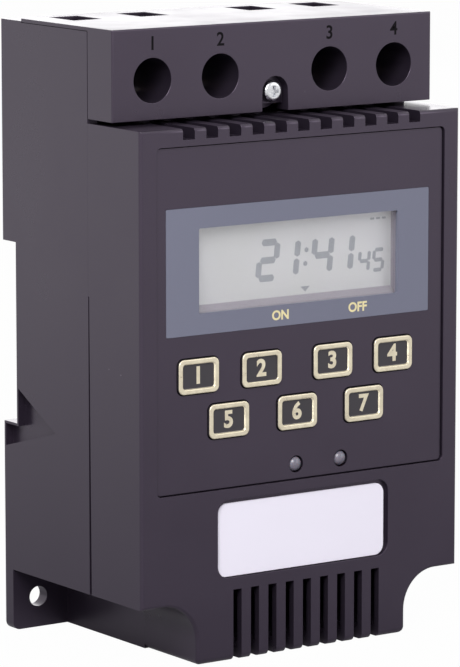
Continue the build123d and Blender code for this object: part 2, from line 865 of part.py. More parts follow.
def terminal_bar(x):
    """A brass bar with a threaded boss, and a tab that is soldered into the power board."""
    body = block(x - bar_wide / 2, x + bar_wide / 2, at_bay_back, at_bar_front, bar_low, bar_top)
    body += rod(x, terminal_z, at_bay_back - bar_boss_long, at_bar_front, bar_boss_r)
    body += block(x - bar_tab_wide / 2, x + bar_tab_wide / 2, at_bay_back, at_main_board_front + bar_tab_out,
                  bar_low, bar_low + bar_thick)
    return body - rod(x, terminal_z, at_bay_back - bar_boss_long - cut_over, at_bar_front + cut_over,
                      terminal_screw_r + screw_gap)


def clamp_washer(x):
    """The square washer that presses the wire on the bar."""
    side = washer_side / 2
    body = block(x - side, x + side, at_washer, at_washer + washer_thick,
                 terminal_z - side, terminal_z + side)
    body = fillet(body.edges().filter_by(Axis.Y), washer_thick / 2)
    bore_r = terminal_screw_r + washer_bore_gap
    return body - rod(x, terminal_z, at_washer - cut_over, at_washer + washer_thick + cut_over, bore_r)


def terminal_screw(x):
    """The clamping screw, with a slotted pan head."""
    at_top = at_head + terminal_head
    head = rod(x, terminal_z, at_head, at_top, terminal_head_r)
    head = fillet(head.edges().group_by(Axis.Y)[0], terminal_head / 3)
    body = head + rod(x, terminal_z, at_head - terminal_screw_long, at_head, terminal_screw_r)
    across = terminal_head_r + cut_over
    return body - block(x - across, x + across, at_top - slot_deep, at_top + cut_over,
                        terminal_z - slot_wide / 2, terminal_z + slot_wide / 2)


def rail_latch():
    """The sliding latch that hooks the lower flange of the rail."""
    at_front = latch_sink + latch_thick
    body = block(-latch_half, latch_half, latch_sink, at_front, latch_low, rail_slot_low - latch_gap)
    tongue_top = rail_slot_low - 2 * latch_gap
    body += block(-latch_half - latch_tongue, latch_half + latch_tongue, at_front - latch_tongue_thick,
                  at_front, latch_low, tongue_top)
    nose_back = latch_sink + latch_nose_thick
    nose_top = rail_slot_low + latch_nose
    nose = [(latch_sink, rail_slot_low - wall), (latch_sink, nose_top - latch_ramp),
            (latch_sink + latch_ramp, nose_top), (nose_back, nose_top), (nose_back, rail_slot_low - wall)]
    body += side_prism(nose, -latch_half, latch_half)
    room = spring_r + spring_wire_r + spring_room
    body -= block(-room, room, latch_sink - cut_over, at_front + cut_over,
                  spring_low - spring_lug - latch_travel - latch_gap, spring_high + fit_gap)
    return body - block(-pull_wide / 2, pull_wide / 2, latch_sink - cut_over, at_front + cut_over,
                        latch_low + wall, latch_low + wall + pull_high)


def least_gap(path):
    """The least clear distance between neighbouring turns of the spring, measured on points."""
    count = spring_turns * points_per_turn
    points = [path @ (i / count) for i in range(count + 1)]
    apart = points_per_turn // 2
    nearest = min((a - b).length for i, a in enumerate(points) for b in points[i + apart:])
    return round(nearest - 2 * spring_wire_r, 3)


def latch_spring():
    """The coil spring that pushes the latch up."""
    rise = spring_high - spring_low - 2 * spring_wire_r
    at_axis = latch_sink + latch_thick / 2
    start = (spring_r, 0, 0)
    path = Helix(rise / spring_turns, rise, spring_r)
    profile = Plane(origin=start, z_dir=path.tangent_at(0)) * Circle(spring_wire_r)
    coil = sweep(profile, path=path)
    print("least gap between the turns of the latch spring:", least_gap(path))
    return Pos(0, back_y - at_axis, spring_low + spring_wire_r) * coil


def main_place(shares):
    """A place on the power board, from shares of its half width and of its height."""
    x_share, z_share = shares
    return main_board_wide / 2 * x_share, main_board_low + (main_board_high - main_board_low) * z_share


def display_place(shares):
    """A place on the display board, from shares of its half width and of its height."""
    x_share, z_share = shares
    tall = display_board_high - display_board_low
    return display_board_wide / 2 * x_share, display_board_low + tall * z_share


def relay():
    """The power relay: a closed case on a thin base."""
    x0 = relay_side - main_board_wide / 2
    z1 = main_board_high - relay_drop
    at_case = at_main_board_front + relay_foot
    case = block(x0, x0 + relay_wide, at_case, at_main_board_front + relay_out, z1 - relay_tall, z1)
    case = fillet(case.faces().sort_by(Axis.Y)[0].edges() + case.edges().filter_by(Axis.Y), case_round)
    foot = block(x0 + relay_foot, x0 + relay_wide - relay_foot, at_main_board_front, at_case,
                 z1 - relay_tall + relay_foot, z1 - relay_foot)
    return case + foot


def film_capacitor():
    """The mains-rated film capacitor."""
    x1 = main_board_wide / 2 - film_side
    z1 = main_board_high - film_drop
    body = block(x1 - film_wide, x1, at_main_board_front, at_main_board_front + film_out,
                 z1 - film_tall, z1)
    return fillet(body.edges().filter_by(Axis.Y), case_round)


def electrolytic_capacitor(shares, radius, out):
    """An upright can with a rolled groove near its foot."""
    x, z = main_place(shares)
    at_top = at_main_board_front + out
    body = rod(x, z, at_main_board_front, at_top, radius)
    body = fillet(body.edges().group_by(Axis.Y)[0], can_round)
    at_groove = at_main_board_front + radius / 2
    ring = rod(x, z, at_groove, at_groove + can_groove, radius + cut_over)
    return body - (ring - rod(x, z, at_groove, at_groove + can_groove, radius - can_groove / 2))


def varistor():
    """The disc-shaped surge arrester, standing on its edge."""
    x, middle_z = main_place(varistor_place_shares)
    at_axis = at_main_board_front + stand_off + varistor_r
    disc = Rot(0, 90, 0) * Cylinder(varistor_r, varistor_thick)
    disc = fillet(disc.edges(), varistor_thick / 3)
    body = Pos(x, back_y - at_axis, middle_z) * disc
    for side in (-1, 1):
        body += rod(x, middle_z + side * varistor_r / 2, at_main_board_front, at_axis, wire_r)
    return body


def fuse():
    """The round radial fuse."""
    x, z = main_place(fuse_place_shares)
    body = rod(x, z, at_main_board_front, at_main_board_front + fuse_out, fuse_r)
    return fillet(body.edges().group_by(Axis.Y)[0], can_round)


def axial_part(x, z, radius, long):
    """A part that lies along X on a wire bent down to the board at both ends."""
    at_axis = at_main_board_front + stand_off + radius
    barrel = fillet((Rot(0, 90, 0) * Cylinder(radius, long)).edges(), radius / 3)
    body = Pos(x, back_y - at_axis, z) * barrel
    left = x - long / 2 - wire_reach
    right = x + long / 2 + wire_reach
    foot_y = back_y - at_main_board_front
    axis_y = back_y - at_axis
    corners = [(left, foot_y, z), (left, axis_y, z), (right, axis_y, z), (right, foot_y, z)]
    path = FilletPolyline(*corners, radius=wire_bend)
    profile = Plane(origin=path @ 0, z_dir=path % 0) * Circle(wire_r)
    return body + sweep(profile, path=path)


def rectifier_diodes():
    """The four diodes side by side near the foot of the power board."""
    x = main_board_wide / 2 * diode_x_share
    low = main_board_low + diode_rise
    return [axial_part(x, low + i * diode_pitch, diode_r, diode_long) for i in range(diode_count)]


def power_resistor():
    """The large series resistor."""
    return axial_part(main_board_wide / 2 * resistor_x_share, main_board_low + resistor_rise,
                      resistor_r, resistor_long)


def relay_driver():
    """The small transistor that switches the relay, flat on one side."""
    x, z = main_place(driver_place_shares)
    at_low = at_main_board_front + stand_off
    at_top = at_low + driver_out
    body = rod(x, z, at_low, at_top, driver_side / 2)
    body -= block(x - driver_side, x + driver_side, at_low - cut_over, at_top + cut_over,
                  z + driver_side / 4, z + driver_side)
    for i in (-1, 0, 1):
        body += rod(x + i * lead_spread, z, at_main_board_front, at_low + fit_gap, lead_side / 2)
    return body


def clock_chip():
    """The flat clock circuit behind the display board."""
    x, z = display_place(chip_place_shares)
    side = chip_side / 2
    body = block(x - side, x + side, at_display_board - chip_thick, at_display_board, z - side, z + side)
    return chamfer(body.faces().sort_by(Axis.Y)[-1].edges(), chip_thick / 4)


def clock_crystal():
    """The small quartz can that times the clock."""
    x, z = display_place(crystal_place_shares)
    can = fillet(Cylinder(crystal_r, crystal_long).edges().group_by(Axis.Z)[-1], crystal_r / 2)
    return Pos(x, back_y - at_display_board + crystal_r, z) * can


def backup_battery():
    """The round cell that keeps the time when the mains is off."""
    x, z = display_place(battery_place_shares)
    at_low = at_display_board - battery_thick
    body = fillet(rod(x, z, at_low, at_display_board, battery_r).edges(), battery_seam)
    at_ring = at_low + battery_thick / 3
    ring = rod(x, z, at_ring, at_ring + battery_seam, battery_r + cut_over)
    return body - (ring - rod(x, z, at_ring, at_ring + battery_seam, battery_r - battery_seam / 2))


def cable_sockets():
    """The two sockets of the flat cable, one on each board."""
    sockets = []
    for z, at_low in ((cable_low, at_main_board_front), (cable_high, at_display_board - socket_out)):
        sockets.append(block(cable_x - socket_wide / 2, cable_x + socket_wide / 2, at_low,
                             at_low + socket_out, z - socket_high / 2, z + socket_high / 2))
    return Compound(children=sockets)


def flat_cable():
    """The flat cable between the sockets, with two bends."""
    at_low = at_main_board_front + socket_out
    at_high = at_display_board - socket_out
    at_middle = (at_low + at_high) / 2
    plane = Plane(origin=(cable_x - cable_wide / 2, 0, 0), x_dir=(0, 1, 0), z_dir=(1, 0, 0))
    points = [(back_y - at_low, cable_low), (back_y - at_middle, cable_low),
              (back_y - at_middle, cable_high), (back_y - at_high, cable_high)]
    line = FilletPolyline(*points, radius=cable_bend)
    return extrude(plane * trace(line, line_width=cable_thick), amount=cable_wide)


os.makedirs("parts", exist_ok=True)

# Housing
save("rear_base", rear_base())
save("front_cover", front_cover())
save("terminal_cover", terminal_cover())
save("cover_screw", pan_screw(0, cover_screw_z, at_web_front, cover_screw_long, cover_screw_r,
                              cover_head_r, cover_head, True))
save("housing_screws", Compound(children=[
    pan_screw(x, z, at_housing_seat, housing_screw_long, housing_screw_r, housing_head_r,
              housing_head, False)
    for x, z in housing_boss_places]))
save("faceplate", faceplate())
save("label_plate", label_plate())

# Display
save("display_rim", display_rim())
save("display_lens", display_lens())
save("lcd_carrier", lcd_carrier())
save("lcd_cell", lcd_cell())
save("zebra_strips", zebra_strips())

# Keys and lamps
for name, (x, z) in key_places.items():
    save("key_" + name, key_cap(x, z))
    save("plunger_" + name, key_plunger(x, z))
save("key_switches", key_switches())
for name, x in lamp_places.items():
    save(name, lamp(x))

# Boards and what they carry
save("display_board", display_board())
save("clock_chip", clock_chip())
save("clock_crystal", clock_crystal())
save("backup_battery", backup_battery())
save("main_board", main_board())
save("relay", relay())
save("film_capacitor", film_capacitor())
save("electrolytic_capacitors", Compound(children=[
    electrolytic_capacitor(shares, radius, out)
    for shares, (radius, out) in zip(electrolytic_place_shares, electrolytic_sizes)]))
save("varistor", varistor())
save("fuse", fuse())
save("rectifier_diodes", Compound(children=rectifier_diodes()))
save("power_resistor", power_resistor())
save("relay_driver", relay_driver())
save("cable_sockets", cable_sockets())
save("flat_cable", flat_cable())
save("main_board_screws", Compound(children=[
    board_screw(x, z, at_main_board_front, True) for x, z in main_posts]))
save("display_board_screws", Compound(children=[
    board_screw(x, z, at_display_board, False) for x, z in display_posts]))

# Terminals
for i, x in enumerate(terminal_xs):
    save("terminal_bar_" + str(i + 1), terminal_bar(x))
    save("clamp_washer_" + str(i + 1), clamp_washer(x))
    save("terminal_screw_" + str(i + 1), terminal_screw(x))

# Rail latch
save("rail_latch", rail_latch())
save("latch_spring", latch_spring())
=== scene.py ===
import json
import math

import bpy
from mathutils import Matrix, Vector


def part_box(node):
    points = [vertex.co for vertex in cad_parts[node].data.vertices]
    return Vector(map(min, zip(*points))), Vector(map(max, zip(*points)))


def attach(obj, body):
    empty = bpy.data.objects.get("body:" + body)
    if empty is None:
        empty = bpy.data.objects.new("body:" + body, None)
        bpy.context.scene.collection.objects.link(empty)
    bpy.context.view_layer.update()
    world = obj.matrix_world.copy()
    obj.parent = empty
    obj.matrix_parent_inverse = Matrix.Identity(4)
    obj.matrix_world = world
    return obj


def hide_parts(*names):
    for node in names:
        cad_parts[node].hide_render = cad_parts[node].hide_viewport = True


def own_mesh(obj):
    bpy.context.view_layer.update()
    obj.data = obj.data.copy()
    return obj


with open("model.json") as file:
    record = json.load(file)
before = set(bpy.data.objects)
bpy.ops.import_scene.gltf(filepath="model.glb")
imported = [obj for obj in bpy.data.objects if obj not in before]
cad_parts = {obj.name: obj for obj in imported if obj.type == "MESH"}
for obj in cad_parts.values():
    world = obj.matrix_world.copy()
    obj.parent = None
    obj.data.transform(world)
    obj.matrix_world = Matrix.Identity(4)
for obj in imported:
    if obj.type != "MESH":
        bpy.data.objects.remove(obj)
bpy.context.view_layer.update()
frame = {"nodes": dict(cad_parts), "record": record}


# The view
# The switch is seen from its front left, a little from above. A long lens keeps its upright edges
# nearly parallel.
camera_place = Vector((-0.4691, -0.6747, 0.1895))
camera_look = Vector((0.56345, 0.81087, -0.15784))
lens_mm = 231.3
sensor_mm = 36
near_clip = 0.01
camera = bpy.data.objects.new("camera", bpy.data.cameras.new("camera"))
bpy.context.scene.collection.objects.link(camera)
camera.location = camera_place
camera.rotation_euler = camera_look.to_track_quat("-Z", "Y").to_euler()
camera.data.sensor_width = sensor_mm
camera.data.lens = lens_mm
camera.data.clip_start = near_clip
bpy.context.scene.camera = camera
bpy.context.scene.view_settings.view_transform = "Standard"


# The table and the light
# A table of white laminate runs off into white. In reflections it is painted darker round the foot, a
# painted shade for the shadow there. A large soft box stands above on the left, a weaker one on the right,
# and a low one behind for the glare on top.
table_size = 12
# Painted shade: reflections see the table darker within this distance of the foot, white again beyond it.
foot_shade_near = 0.05
foot_shade_far = 0.5
painted_shade_at_foot = 0.15
table_glow = 0.985
room_light = 0.36


def paint(code, share=1.0):
    """The linear colour of an sRGB hex code, made lighter or darker by a share."""
    parts = [int(code[i:i + 2], 16) / 255 for i in (1, 3, 5)]
    linear = [c / 12.92 if c <= 0.04045 else ((c + 0.055) / 1.055) ** 2.4 for c in parts]
    return (*[min(1.0, c * share) for c in linear], 1.0)


def add(tree, kind, settings=None, **inputs):
    """Adds a shader node with its settings. An input is a constant, or a socket that is linked to it."""
    made = tree.nodes.new(kind)
    for name, value in (settings or {}).items():
        setattr(made, name, value)
    for name, value in inputs.items():
        numbered = name[0] == "i" and name[1:].isdigit()
        socket = made.inputs[int(name[1:])] if numbered else made.inputs[name.replace("_", " ")]
        if isinstance(value, bpy.types.NodeSocket):
            tree.links.new(value, socket)
        else:
            socket.default_value = value
    return made


def fresh(name):
    """An empty material, its tree and its Object coordinates."""
    made = bpy.data.materials.new(name)
    made.use_nodes = True
    made.node_tree.nodes.clear()
    return made, made.node_tree, add(made.node_tree, "ShaderNodeTexCoord").outputs["Object"]


def wear(piece, *materials):
    """Gives a piece or a CAD node its materials, the first one all over."""
    piece.data.materials.clear()
    for material in materials:
        piece.data.materials.append(material)


def seen_share(tree, ray, gloss):
    """One where a ray comes from the camera or a clear sheet, and the given share of a gloss elsewhere."""
    direct = add(tree, "ShaderNodeMath", {"operation": "MAXIMUM"}, i0=ray.outputs["Is Camera Ray"],
                 i1=ray.outputs["Is Transmission Ray"])
    return add(tree, "ShaderNodeMath", {"operation": "MAXIMUM"}, i0=direct.outputs[0], i1=gloss).outputs[0]


table_material, tree, place = fresh("white_laminate_table")
ray = add(tree, "ShaderNodeLightPath")
# Painted shade: glossy rays see the table dimmer near the foot, fading back to white further out.
away = add(tree, "ShaderNodeVectorMath", {"operation": "LENGTH"}, i0=place)
painted_foot_shade = add(tree, "ShaderNodeMapRange", Value=away.outputs["Value"], From_Min=foot_shade_near,
           From_Max=foot_shade_far, To_Min=painted_shade_at_foot, To_Max=1.0)
gloss = add(tree, "ShaderNodeMath", {"operation": "MULTIPLY"}, i0=ray.outputs["Is Glossy Ray"],
            i1=painted_foot_shade.outputs[0])
share = add(tree, "ShaderNodeMath", {"operation": "MULTIPLY"},
            i0=seen_share(tree, ray, gloss.outputs[0]), i1=table_glow)
matt = add(tree, "ShaderNodeBsdfDiffuse", Color=paint("#a0a0a4"))
glow = add(tree, "ShaderNodeEmission", Color=paint("#ffffff"), Strength=1.0)
mixed = add(tree, "ShaderNodeMixShader", i0=share.outputs[0], i1=matt.outputs[0], i2=glow.outputs[0])
add(tree, "ShaderNodeOutputMaterial", Surface=mixed.outputs[0])
bpy.ops.mesh.primitive_plane_add(size=table_size, location=(0, 0, 0))
table = bpy.context.object
table.name = "table"
wear(table, table_material)

world = bpy.data.worlds.new("studio")
bpy.context.scene.world = world
world.use_nodes = True
tree = world.node_tree
tree.nodes.clear()
ray = add(tree, "ShaderNodeLightPath")
seen = seen_share(tree, ray, ray.outputs["Is Glossy Ray"])
dim = add(tree, "ShaderNodeBackground", Color=paint("#fbf7ff"), Strength=room_light)
full = add(tree, "ShaderNodeBackground", Color=paint("#ffffff"), Strength=1.0)
mixed = add(tree, "ShaderNodeMixShader", i0=seen, i1=dim.outputs[0], i2=full.outputs[0])
add(tree, "ShaderNodeOutputWorld", Surface=mixed.outputs[0])


def soft_box(name, place, aim, size, power):
    """One rectangular soft box that points at a place."""
    lamp = bpy.data.lights.new(name, "AREA")
    lamp.shape = "RECTANGLE"
    lamp.size, lamp.size_y = size
    lamp.energy = power
    lamp_object = bpy.data.objects.new(name, lamp)
    bpy.context.scene.collection.objects.link(lamp_object)
    lamp_object.location = place
    lamp_object.rotation_euler = (Vector(aim) - Vector(place)).to_track_quat("-Z", "Y").to_euler()


soft_box("key_box", place=(-0.42, -0.40, 0.52), aim=(0, 0, 0.09), size=(0.4, 0.4), power=5.8)
soft_box("fill_box", place=(0.75, -0.9, 0.55), aim=(0, 0, 0.07), size=(0.6, 0.8), power=2.4)
soft_box("back_box", place=(0.55, 0.95, 0.30), aim=(0, 0, 0.12), size=(1.4, 0.5), power=4.4)


# The rear base
# The rear half of the housing: back, side walls, two ears and terminal bay. It is injection-moulded
# in nearly black ABS, whose satin sheen over a fine spark-eroded grain leans to purple.
MM = 0.001
nodes = frame["nodes"]
body_of_node = {node: body for body, group in frame["record"]["behaviour"]["bodies"].items()
                for node in group}
# A noise texture seldom leaves this range, so a change of gloss is spread over it.
noise_range = {"From_Min": 0.3, "From_Max": 0.7}
weld_mm = 0.004
flat_angle = math.radians(1)
edge_angle = math.radians(40)
smooth_angle = math.radians(35)


def moulded(name, shade, rough, grain_mm=0.35, grain_depth=0.10, patch_mm=22.0, specks=True, spread=0.12,
            shine=0.5, sheen_tint="#ffffff"):
    """Moulded plastic: a fine grain, a slow change of shade and gloss, and a few pale specks of dust."""
    gloss_swing = 0.05
    relief_mm = 0.06
    made, tree, place = fresh(name)
    cloud = add(tree, "ShaderNodeTexNoise", Vector=place, Scale=1 / (patch_mm * MM), Detail=4.0,
                Roughness=0.6)
    grain = add(tree, "ShaderNodeTexNoise", Vector=place, Scale=1 / (grain_mm * MM), Detail=3.0)
    tint = add(tree, "ShaderNodeMixRGB", Fac=cloud.outputs["Fac"], Color1=paint(shade, 1 - spread),
               Color2=paint(shade, 1 + spread)).outputs[0]
    if specks:
        # A speck's core and edge are shares of the spacing. Dust lies only where the cloud is dense.
        speck_spacing_mm = 3.846
        speck_core = 0.035
        speck_edge = 0.05
        dusty_from = 0.62
        dust = add(tree, "ShaderNodeTexVoronoi", Vector=place, Scale=1 / (speck_spacing_mm * MM),
                   Randomness=1.0)
        speck = add(tree, "ShaderNodeMapRange", Value=dust.outputs["Distance"], From_Min=speck_core,
                    From_Max=speck_edge, To_Min=1.0, To_Max=0.0)
        dusty = add(tree, "ShaderNodeMath", {"operation": "GREATER_THAN"}, i0=cloud.outputs["Fac"],
                    i1=dusty_from)
        speck = add(tree, "ShaderNodeMath", {"operation": "MULTIPLY"}, i0=speck.outputs[0],
                    i1=dusty.outputs[0])
        tint = add(tree, "ShaderNodeMixRGB", Fac=speck.outputs[0], Color1=tint,
                   Color2=paint("#8d8992")).outputs[0]
    gloss = add(tree, "ShaderNodeMapRange", Value=cloud.outputs["Fac"], To_Min=rough - gloss_swing,
                To_Max=rough + gloss_swing, **noise_range)
    bump = add(tree, "ShaderNodeBump", Height=grain.outputs["Fac"], Strength=grain_depth,
               Distance=relief_mm * MM)
    shader = add(tree, "ShaderNodeBsdfPrincipled", Base_Color=tint, Roughness=gloss.outputs[0],
                 IOR=1.53, Specular_IOR_Level=shine, Specular_Tint=paint(sheen_tint),
                 Normal=bump.outputs[0])
    add(tree, "ShaderNodeOutputMaterial", Surface=shader.outputs[0])
    return made


def only(*pieces):
    """Selects just these pieces, the first one active."""
    bpy.ops.object.select_all(action="DESELECT")
    for piece in pieces:
        piece.select_set(True)
    bpy.context.view_layer.objects.active = pieces[0]


def welded(node):
    """A copy of a node with its loose triangles merged. It is left in edit mode, selected all over."""
    piece = bpy.data.objects.new(node + "_finished", nodes[node].data.copy())
    bpy.context.scene.collection.objects.link(piece)
    only(piece)
    bpy.ops.object.mode_set(mode="EDIT")
    bpy.ops.mesh.select_all(action="SELECT")
    bpy.ops.mesh.remove_doubles(threshold=weld_mm * MM)
    return piece


def softened(node, edge_mm, cut_y=None):
    """A welded copy of a node with its edges broken, that stands for the node. It may be cut in Y."""
    piece = welded(node)
    bpy.ops.mesh.dissolve_limited(angle_limit=flat_angle)
    bpy.ops.object.mode_set(mode="OBJECT")
    bevel = piece.modifiers.new("broken_edges", "BEVEL")
    bevel.width = edge_mm * MM
    bevel.segments = 2
    bevel.limit_method = "ANGLE"
    bevel.angle_limit = edge_angle
    bpy.ops.object.modifier_apply(modifier="broken_edges")
    if cut_y is not None:
        bpy.ops.object.mode_set(mode="EDIT")
        bpy.ops.mesh.select_all(action="SELECT")
        bpy.ops.mesh.bisect(plane_co=(0, cut_y, 0), plane_no=(0, 1, 0))
        bpy.ops.object.mode_set(mode="OBJECT")
    bpy.ops.object.shade_smooth_by_angle(angle=smooth_angle)
    flat = piece.modifiers.new("flat_faces", "WEIGHTED_NORMAL")
    flat.mode = "FACE_AREA"
    flat.weight = 100
    flat.keep_sharp = True
    bpy.ops.object.modifier_apply(modifier="flat_faces")
    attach(piece, body_of_node[node])
    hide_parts(node)
    return piece


charcoal_abs = moulded("charcoal_abs", "#221d26", rough=0.31, shine=0.66, sheen_tint="#f5e2ff")
rear_base = softened("rear_base", edge_mm=0.2)
wear(rear_base, charcoal_abs)


# The front cover
# The front half of the housing in the same ABS, with the notched ledge, the recesses of the faceplate
# and the label, and the slots over the foot. Three screws from the back hold it.
front_cover = softened("front_cover", edge_mm=0.2)
wear(front_cover, charcoal_abs)


# The terminal cover
# A cap of the same plastic over the terminals, with a small dark figure above each driver hole. The
# figures are drawn as a skin 0.03 mm thick, half of it sunk in the wall.
terminals = (1, 2, 3, 4)
figure_drop_mm = 2.95
skin_mm = 0.03
letter_weld_mm = 0.002


def lettered(name, words, node, middle, material, size_mm, weight_mm):
    """A flat word or number that faces the front, its middle at a place and half sunk in the face there."""
    bpy.ops.object.text_add(location=(0, 0, 0))
    piece = bpy.context.object
    piece.name = name
    piece.data.body = words
    piece.data.size = size_mm * MM
    piece.data.offset = weight_mm * MM
    piece.data.extrude = skin_mm * MM / 2
    piece.data.resolution_u = 5
    piece.data.align_x = "CENTER"
    piece.data.align_y = "CENTER"
    only(piece)
    bpy.ops.object.convert(target="MESH")
    piece = bpy.context.object
    piece.rotation_euler = (math.pi / 2, 0, 0)
    piece.location = middle
    only(piece)
    bpy.ops.object.transform_apply(location=True, rotation=True, scale=True)
    bpy.ops.object.mode_set(mode="EDIT")
    bpy.ops.mesh.select_all(action="SELECT")
    bpy.ops.mesh.remove_doubles(threshold=letter_weld_mm * MM)
    bpy.ops.mesh.normals_make_consistent(inside=False)
    bpy.ops.object.mode_set(mode="OBJECT")
    wear(piece, material)
    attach(piece, body_of_node[node])


terminal_cover = softened("terminal_cover", edge_mm=0.25)
wear(terminal_cover, charcoal_abs)
cover_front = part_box("terminal_cover")[0][1]
cover_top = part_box("terminal_cover")[1][2]
dark_figures = moulded("matt_black_figures", "#131114", rough=0.7, specks=False, shine=0.06)
for number in terminals:
    low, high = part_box("terminal_screw_%d" % number)
    above_hole = ((low[0] + high[0]) / 2, cover_front, cover_top - figure_drop_mm * MM)
    lettered("terminal_number_%d" % number, str(number), "terminal_cover", above_hole, dark_figures,
             size_mm=3.6, weight_mm=0.06)


# The screw of the terminal cover
# A zinc-plated steel pan head with a cross recess, bright against the black notch that it sits in.
# It alone holds the cover.
def metal(name, shade, rough, grain_mm=0.25, stretch=(1.0, 1.0, 6.0), stain=0.10):
    """Plated or stamped metal: fine drawn grain, and a slow change of shade and gloss."""
    patch_mm = 3.0
    gloss_swing = 0.08
    relief_mm = 0.03
    made, tree, place = fresh(name)
    long_way = add(tree, "ShaderNodeMapping", Vector=place, Scale=stretch)
    cloud = add(tree, "ShaderNodeTexNoise", Vector=place, Scale=1 / (patch_mm * MM), Detail=3.0)
    grain = add(tree, "ShaderNodeTexNoise", Vector=long_way.outputs[0], Scale=1 / (grain_mm * MM),
                Detail=2.0)
    tint = add(tree, "ShaderNodeMixRGB", Fac=cloud.outputs["Fac"], Color1=paint(shade, 1 - stain),
               Color2=paint(shade, 1 + stain))
    gloss = add(tree, "ShaderNodeMapRange", Value=grain.outputs["Fac"], To_Min=rough - gloss_swing,
                To_Max=rough + gloss_swing, **noise_range)
    bump = add(tree, "ShaderNodeBump", Height=grain.outputs["Fac"], Strength=0.15,
               Distance=relief_mm * MM)
    shader = add(tree, "ShaderNodeBsdfPrincipled", Base_Color=tint.outputs[0], Roughness=gloss.outputs[0],
                 Metallic=1.0, Normal=bump.outputs[0])
    add(tree, "ShaderNodeOutputMaterial", Surface=shader.outputs[0])
    return made


zinc_steel = metal("zinc_plated_steel", "#d2d3d6", rough=0.24)
cover_screw = softened("cover_screw", edge_mm=0.08)
wear(cover_screw, zinc_steel)


# The faceplate
# A separate moulded plate in the same plastic, a little smoother, snapped into the recess of the
# front cover with a shadow gap all round.
satin_abs = moulded("satin_charcoal_abs", "#231e27", rough=0.32, grain_mm=0.25, grain_depth=0.05,
                    shine=0.66, sheen_tint="#f5e2ff")
faceplate = softened("faceplate", edge_mm=0.15)
wear(faceplate, satin_abs)


# The display rim
# A flat frame in blue-grey lacquer, let into the faceplate. The words that say what the marker on the
# display points at are pad-printed on it in gold.
grey_lacquer = moulded("blue_grey_lacquer", "#6d6f80", rough=0.42, grain_mm=0.6, grain_depth=0.03,
                       patch_mm=60.0, specks=False, spread=0.05)
wear(nodes["display_rim"], grey_lacquer)
gold_print = moulded("gold_print", "#e6d9a6", rough=0.45, grain_mm=0.3, grain_depth=0.05, patch_mm=1.5,
                     specks=False, spread=0.10)
word_rise_mm = 2.05
rim_low, rim_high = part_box("display_rim")
for word, aside_mm in (("ON", -4.47), ("OFF", 13.6)):
    below_window = ((rim_low[0] + rim_high[0]) / 2 + aside_mm * MM, rim_low[1],
                    rim_low[2] + word_rise_mm * MM)
    lettered("print_" + word.lower(), word, "display_rim", below_window, gold_print, size_mm=2.5,
             weight_mm=0.08)


# The display carrier and its clear sheet
# The carrier is a pale grey polycarbonate frame whose sloping lower wall shows under the cell. The
# sheet in front of it is clear acrylic, 0.6 mm thick.
pale_carrier = moulded("pale_grey_carrier", "#a39da8", rough=0.5, grain_mm=0.4, grain_depth=0.05,
                       patch_mm=12.0, specks=False, spread=0.06)
wear(nodes["lcd_carrier"], pale_carrier)
haze_mm = 9.0
clear_acrylic, tree, place = fresh("clear_acrylic")
haze = add(tree, "ShaderNodeTexNoise", Vector=place, Scale=1 / (haze_mm * MM), Detail=3.0)
gloss = add(tree, "ShaderNodeMapRange", Value=haze.outputs["Fac"], To_Min=0.02, To_Max=0.07,
            **noise_range)
shader = add(tree, "ShaderNodeBsdfPrincipled", Base_Color=paint("#ffffff"), Roughness=gloss.outputs[0],
             IOR=1.49, Transmission_Weight=1.0)
add(tree, "ShaderNodeOutputMaterial", Surface=shader.outputs[0])
wear(nodes["display_lens"], clear_acrylic)


# The liquid crystal cell
# Two glass plates with a polariser that looks pale grey. Its lit segments are a darker grey: four
# large figures with a colon, two small ones, three dashes for the day, and a marker.
glass_patch_mm = 25.0
cell_glass, tree, place = fresh("polarised_glass")
cloud = add(tree, "ShaderNodeTexNoise", Vector=place, Scale=1 / (glass_patch_mm * MM), Detail=2.0)
tint = add(tree, "ShaderNodeMixRGB", Fac=cloud.outputs["Fac"], Color1=paint("#cdcfcc"),
           Color2=paint("#d9d7e0"))
gloss = add(tree, "ShaderNodeMapRange", Value=cloud.outputs["Fac"], To_Min=0.30, To_Max=0.40,
            **noise_range)
shader = add(tree, "ShaderNodeBsdfPrincipled", Base_Color=tint.outputs[0], Roughness=gloss.outputs[0],
             IOR=1.52)
add(tree, "ShaderNodeOutputMaterial", Surface=shader.outputs[0])
wear(nodes["lcd_cell"], cell_glass)
segment_grey = moulded("lcd_segment_grey", "#9da0a9", rough=0.5, grain_mm=0.5, grain_depth=0.02,
                       patch_mm=2.0, specks=False, spread=0.16)
segment_thick = 0.02 * MM
segment_gap_share = 0.12
hexagon_corner = math.radians(60)
lean = math.radians(6)
cell_low, cell_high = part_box("lcd_cell")
cell_front = cell_low[1]
cell_x = (cell_low[0] + cell_high[0]) / 2
cell_z = (cell_low[2] + cell_high[2]) / 2
segments = []


def segment(start, end, wide_mm):
    """One segment: a long hexagon between two places in X and Z, in mm from the middle of the cell."""
    start, end = Vector(start) * MM, Vector(end) * MM
    radius = wide_mm * MM / 2 / math.sin(hexagon_corner)
    reach = max((end - start).length / 2 - radius, 0)
    bpy.ops.mesh.primitive_circle_add(vertices=6, radius=radius, fill_type="NGON", location=(0, 0, 0))
    piece = bpy.context.object
    for way in (-1, 1):
        bpy.ops.object.mode_set(mode="EDIT")
        bpy.ops.mesh.select_all(action="DESELECT")
        bpy.ops.object.mode_set(mode="OBJECT")
        for vertex in piece.data.vertices:
            vertex.select = vertex.co.y * way > 0
        bpy.ops.object.mode_set(mode="EDIT")
        bpy.ops.transform.translate(value=(0, way * reach, 0))
        bpy.ops.object.mode_set(mode="OBJECT")
    middle = (start + end) / 2
    run = end - start
    piece.rotation_euler = (math.pi / 2, math.atan2(run.x, run.y), 0)
    piece.location = (cell_x + middle.x, cell_front - segment_thick, cell_z + middle.y)
    segments.append(piece)


